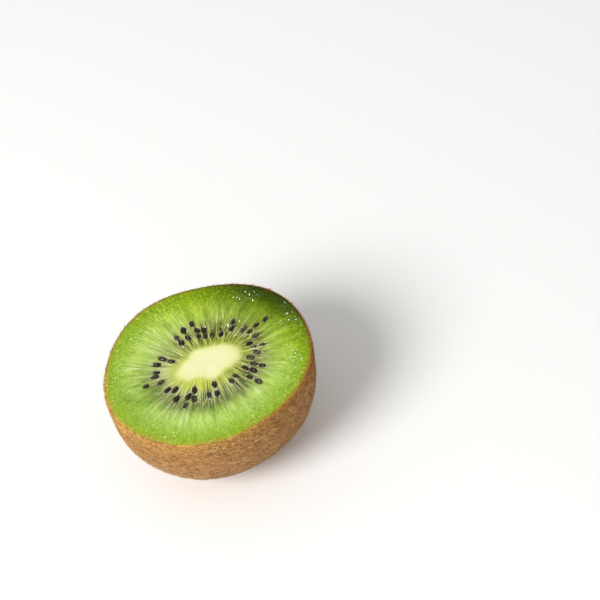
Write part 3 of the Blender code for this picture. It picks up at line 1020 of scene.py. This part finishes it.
def scatterOnSkin(outer, count, rng, rimOnly):
    # Even scatter over the skin: cells of the grid are drawn by their area, and a hair's root is
    # blended between a cell's corners. Returns roots, outward directions and downward directions.
    _, points, sideCount = outer
    points = points[: hair["rimRings"] if rimOnly else sideCount]
    normals = gridNormals(points)
    corner = points[:-1], points[1:], np.roll(points, -1, axis=1)[:-1]
    area = np.linalg.norm(np.cross(corner[1] - corner[0], corner[2] - corner[0]), axis=-1).ravel()
    picked = np.searchsorted(np.cumsum(area) / area.sum(), rng.uniform(0.0, 1.0, count))
    picked = np.minimum(picked, len(area) - 1)
    ring, turn = np.divmod(picked, points.shape[1])
    after = (turn + 1) % points.shape[1]
    a, b = rng.uniform(0.0, 1.0, (2, count, 1))

    def blended(values):
        top = values[ring, turn] * (1 - b) + values[ring, after] * b
        low = values[ring + 1, turn] * (1 - b) + values[ring + 1, after] * b
        return top * (1 - a) + low * a

    normal = unit(blended(normals))
    down = points[ring + 1, turn] - points[ring, turn]
    down -= normal * (down * normal).sum(axis=1, keepdims=True)
    return blended(points), normal, unit(down)


def hairPaint(name):
    # shaded from root to tip, warmer by the rim and under it, redder on one side, paler low down as a
    # painted sheen, and tinted hair by hair
    paint = Paint(name)
    solid = paint.objectPlace()
    shade, along, band, red = map(paint.attribute, ("shade", "along", "band", "red"))
    patch = paint.between(0.36, 0.52, paint.noise(solid, 330.0, 2.0))
    warm = paint.mixed(red * patch, (1.0, 0.84, 0.44, 1.0), (1.0, 0.54, 0.15, 1.0))
    hue = paint.between(0.42, 0.58, paint.noise(solid, 2200.0, 1.0))
    tint = paint.mixed(hue, (1.0, 0.87, 1.0, 1.0), (0.92, 1.0, 0.66, 1.0))
    height = paint.node("SeparateXYZ", {}, {0: solid}, "Z")
    # painted sheen: the hair is paler low down, and yellower higher up
    low = paint.between(hair["sheenFrom"], hair["sheenTo"], height)
    tone = paint.layered(
        paint.ramp(hair["tones"], shade * 0.85 + along * 0.15),
        (band * 0.8, warm, "MULTIPLY"),
        (red * (1.0 - 0.5 * shade), (0.80, 0.68, 0.48, 1.0), "MULTIPLY"),
        (0.8, tint, "MULTIPLY"),
        ((1.0 - low) * 0.8, (1.0, 0.97, 0.74, 1.0), "MULTIPLY"),
        (low * 0.30, (224, 188, 162)),
    )
    return paint.shader({
        "Base Color": tone,
        "Roughness": 0.55 - 0.15 * shade,
        "Specular IOR Level": 0.2,
        "Sheen Weight": 0.08,
        "Sheen Tint": colour(240, 210, 160),
    })


def makeHair(name, outer):
    # A hair is a thin closed spike with three sides, rooted near its clump's middle and leaning
    # towards the clump's tip; its outer half leans on further by the bend. Whole arrays are worked
    # out at once.
    kind = dict(zip(hairColumns, hairKinds[name]))
    rng = np.random.default_rng(kind["draw"])
    clumps, each = kind["clumps"], kind["each"]
    middles, normal, down = scatterOnSkin(outer, clumps, rng, name.endswith("Rim"))
    whorl = sum(layeredNoise(middles, size, draw, 2) * turn for size, draw, turn in hair["whorls"])
    flow = kind["flow"] + whorl + rng.normal(0.0, kind["spread"] * 0.5, clumps)
    patch = 0.5 + 0.5 * layeredNoise(middles, 2.0 * mm, 79, 2)
    pick = np.clip(0.85 * rng.uniform(0.0, 1.0, clumps) + 0.3 * (patch - 0.25), 0.0, 1.0)
    lean = rng.uniform(*kind["lean"], clumps)
    middles, normal, down, flow, pick, lean = (
        np.repeat(values, each, axis=0) for values in (middles, normal, down, flow, pick, lean)
    )
    count = clumps * each
    flow = np.radians(flow + rng.normal(0.0, hair["stray"], count))[:, None]
    length = rng.uniform(*kind["length"], (count, 1)) * mm
    width = rng.uniform(*kind["width"], (count, 1)) * mm
    rise = np.minimum(np.sin(np.radians(lean))[:, None], hair["reach"] / length)
    along = np.cross(down, normal) * np.cos(flow) + down * np.sin(flow)
    heading = along * np.sqrt(1.0 - rise**2) + normal * rise
    across = unit(np.cross(heading, normal))
    other = np.cross(across, heading)
    aside, ahead = rng.normal(0.0, hair["clumpWidth"] / 2, (2, count, 1)) * min(each - 1, 1)
    root = middles + across * aside + along * ahead
    keepUp = root[:, 2:] + heading[:, 2:] * length < hair["bendBelow"]
    heading = np.where(keepUp, heading * np.array((1.0, 1.0, 0.15)), heading)
    ringTurns = (fullTurn * np.arange(3) / 3).reshape(1, 3, 1)
    circle = across[:, None] * np.cos(ringTurns) + other[:, None] * np.sin(ringTurns)
    base = root[:, None] - hair["rootDepth"] * normal[:, None] + circle * width[:, None] / 2
    curl = along * rng.uniform(0.3, 1.0, (count, 1)) + across * rng.uniform(-1.0, 1.0, (count, 1))
    curl *= kind["bend"] * length
    tip = root + heading * length + curl - normal * np.linalg.norm(curl, axis=1, keepdims=True) * 0.35
    tip -= across * aside * 0.6
    centre = root + heading * length * 0.55 - across * aside * 0.3
    ring = centre[:, None] + circle * width[:, None] * 0.42

    # corners run round the base, round the middle where a hair has one, and end at the tip
    last = 3 * (kind["segments"] - 1)
    points = np.concatenate([base, ring][: kind["segments"]] + [tip[:, None]], axis=1)
    points[..., 2] = np.maximum(points[..., 2], hair["lowest"])
    n = np.arange(3)
    m = (n + 1) % 3
    quads = np.stack((n, m, m + 3, n + 3), axis=-1)[:last]
    fan = np.stack((last + n, last + m, np.full(3, last + 3)), axis=-1)
    triangles = np.concatenate((((2, 1, 0),), fan))
    shares = [0.0, 0.0, 0.0, 0.55, 0.55, 0.55][: last + 3] + [1.0]
    low, high = kind["shade"]
    shade = np.clip(low + (high - low) * pick + rng.normal(0.0, 0.06, count), 0.0, 1.0)
    band = bell(fruit["height"] - middles[:, 2], hair["bandWidth"])
    red = redSide(np.arctan2(middles[:, 1], middles[:, 0]))
    corners = last + 4
    attributes = {"along": np.tile(shares, count)}
    for key, values in (("shade", shade), ("band", band), ("red", red)):
        attributes[key] = np.repeat(values, corners)
    faces = (repeated(shape, count, corners) for shape in (quads, triangles))
    made = makeMesh(name, points.reshape(-1, 3) - middle, *faces, attributes)
    finishPiece(made, hairPaint(name + "Paint"))


# The studio
studio = {
    "floorSize": 4.0,
    "floorColour": colour(248, 248, 246),
    "worldColour": (1.0, 1.0, 1.0, 1.0),
    "worldStrength": 0.52,
    "aim": (0.0, 0.0, 0.02),
    "key": {"place": (-0.68, -0.53, 0.72), "size": 0.60, "power": 12.4},
    "back": {"place": (0.14, 0.62, 0.66), "size": 0.07, "power": 1.3},  # seen in wet places only
}


def makeFloor():
    half = studio["floorSize"] / 2
    points = np.array(((-half, -half, 0.0), (half, -half, 0.0), (half, half, 0.0), (-half, half, 0.0)))
    floor = makeMesh("studioFloor", points, np.array(((0, 1, 2, 3),)), np.zeros((0, 3), int))
    paint = Paint("studioFloorPaint")
    floor.data.materials.append(paint.shader({"Base Color": studio["floorColour"], "Roughness": 0.9}))


def makeLights():
    world = bpy.data.worlds.new("studioWorld")
    world.use_nodes = True
    background = world.node_tree.nodes["Background"]
    background.inputs[0].default_value = studio["worldColour"]
    background.inputs[1].default_value = studio["worldStrength"]
    bpy.context.scene.world = world
    for name in ("key", "back"):
        rule = studio[name]
        lamp = bpy.data.lights.new(name + "Light", "AREA")
        lamp.shape = "DISK"
        lamp.size = rule["size"]
        lamp.energy = rule["power"]
        holder = placed(name + "Light", lamp)
        holder.location = rule["place"]
        holder.visible_diffuse = name == "key"
        aim = Vector(studio["aim"]) - holder.location
        holder.rotation_euler = aim.to_track_quat("-Z", "Y").to_euler()


# The camera stands where the photograph's did: measured from the face's middle
camera = {
    "lens": 100.0,
    "sensor": 36.0,
    "elevation": 47.295,
    "roll": -12.075,
    "distance": 411.7 * mm,
    "frameSize": 600.0,
    "faceMiddle": (206.66, 360.31),  # where the middle of the cut face falls in the frame
}


def makeCamera():
    # Turned about its own axis by the roll, and set back from the face so far that its middle falls
    # on the named place of the frame.
    tilt, roll = math.radians(camera["elevation"]), math.radians(camera["roll"])
    back = Vector((0.0, -math.cos(tilt), math.sin(tilt)))
    level = Vector((1.0, 0.0, 0.0))
    upright = level.cross(-back)
    right = level * math.cos(roll) + upright * math.sin(roll)
    up = upright * math.cos(roll) - level * math.sin(roll)
    focus = camera["lens"] / camera["sensor"] * camera["frameSize"]
    offX, offY = ((spot - camera["frameSize"] / 2) / focus * camera["distance"]
                  for spot in camera["faceMiddle"])
    face = Vector((-middle[0], -middle[1], fruit["height"]))
    place = face + back * camera["distance"] - right * offX + up * offY
    lens = bpy.data.cameras.new("photoCamera")
    lens.lens = camera["lens"]
    lens.sensor_width = camera["sensor"]
    lens.clip_start = 0.01
    holder = placed("photoCamera", lens)
    holder.matrix_world = Matrix.Translation(place) @ Matrix((right, up, back)).transposed().to_4x4()
    bpy.context.scene.camera = holder


def build():
    makeCamera()
    makeLights()
    makeFloor()
    print("camera, lights and floor are in place")
    makeFlesh()
    makeSeeds()
    outer = skinOuter()
    makeSkin(outer)
    for name in hairKinds:
        makeHair(name, outer)
    bpy.context.scene.view_settings.view_transform = "Standard"
    print("all pieces are made")


build()
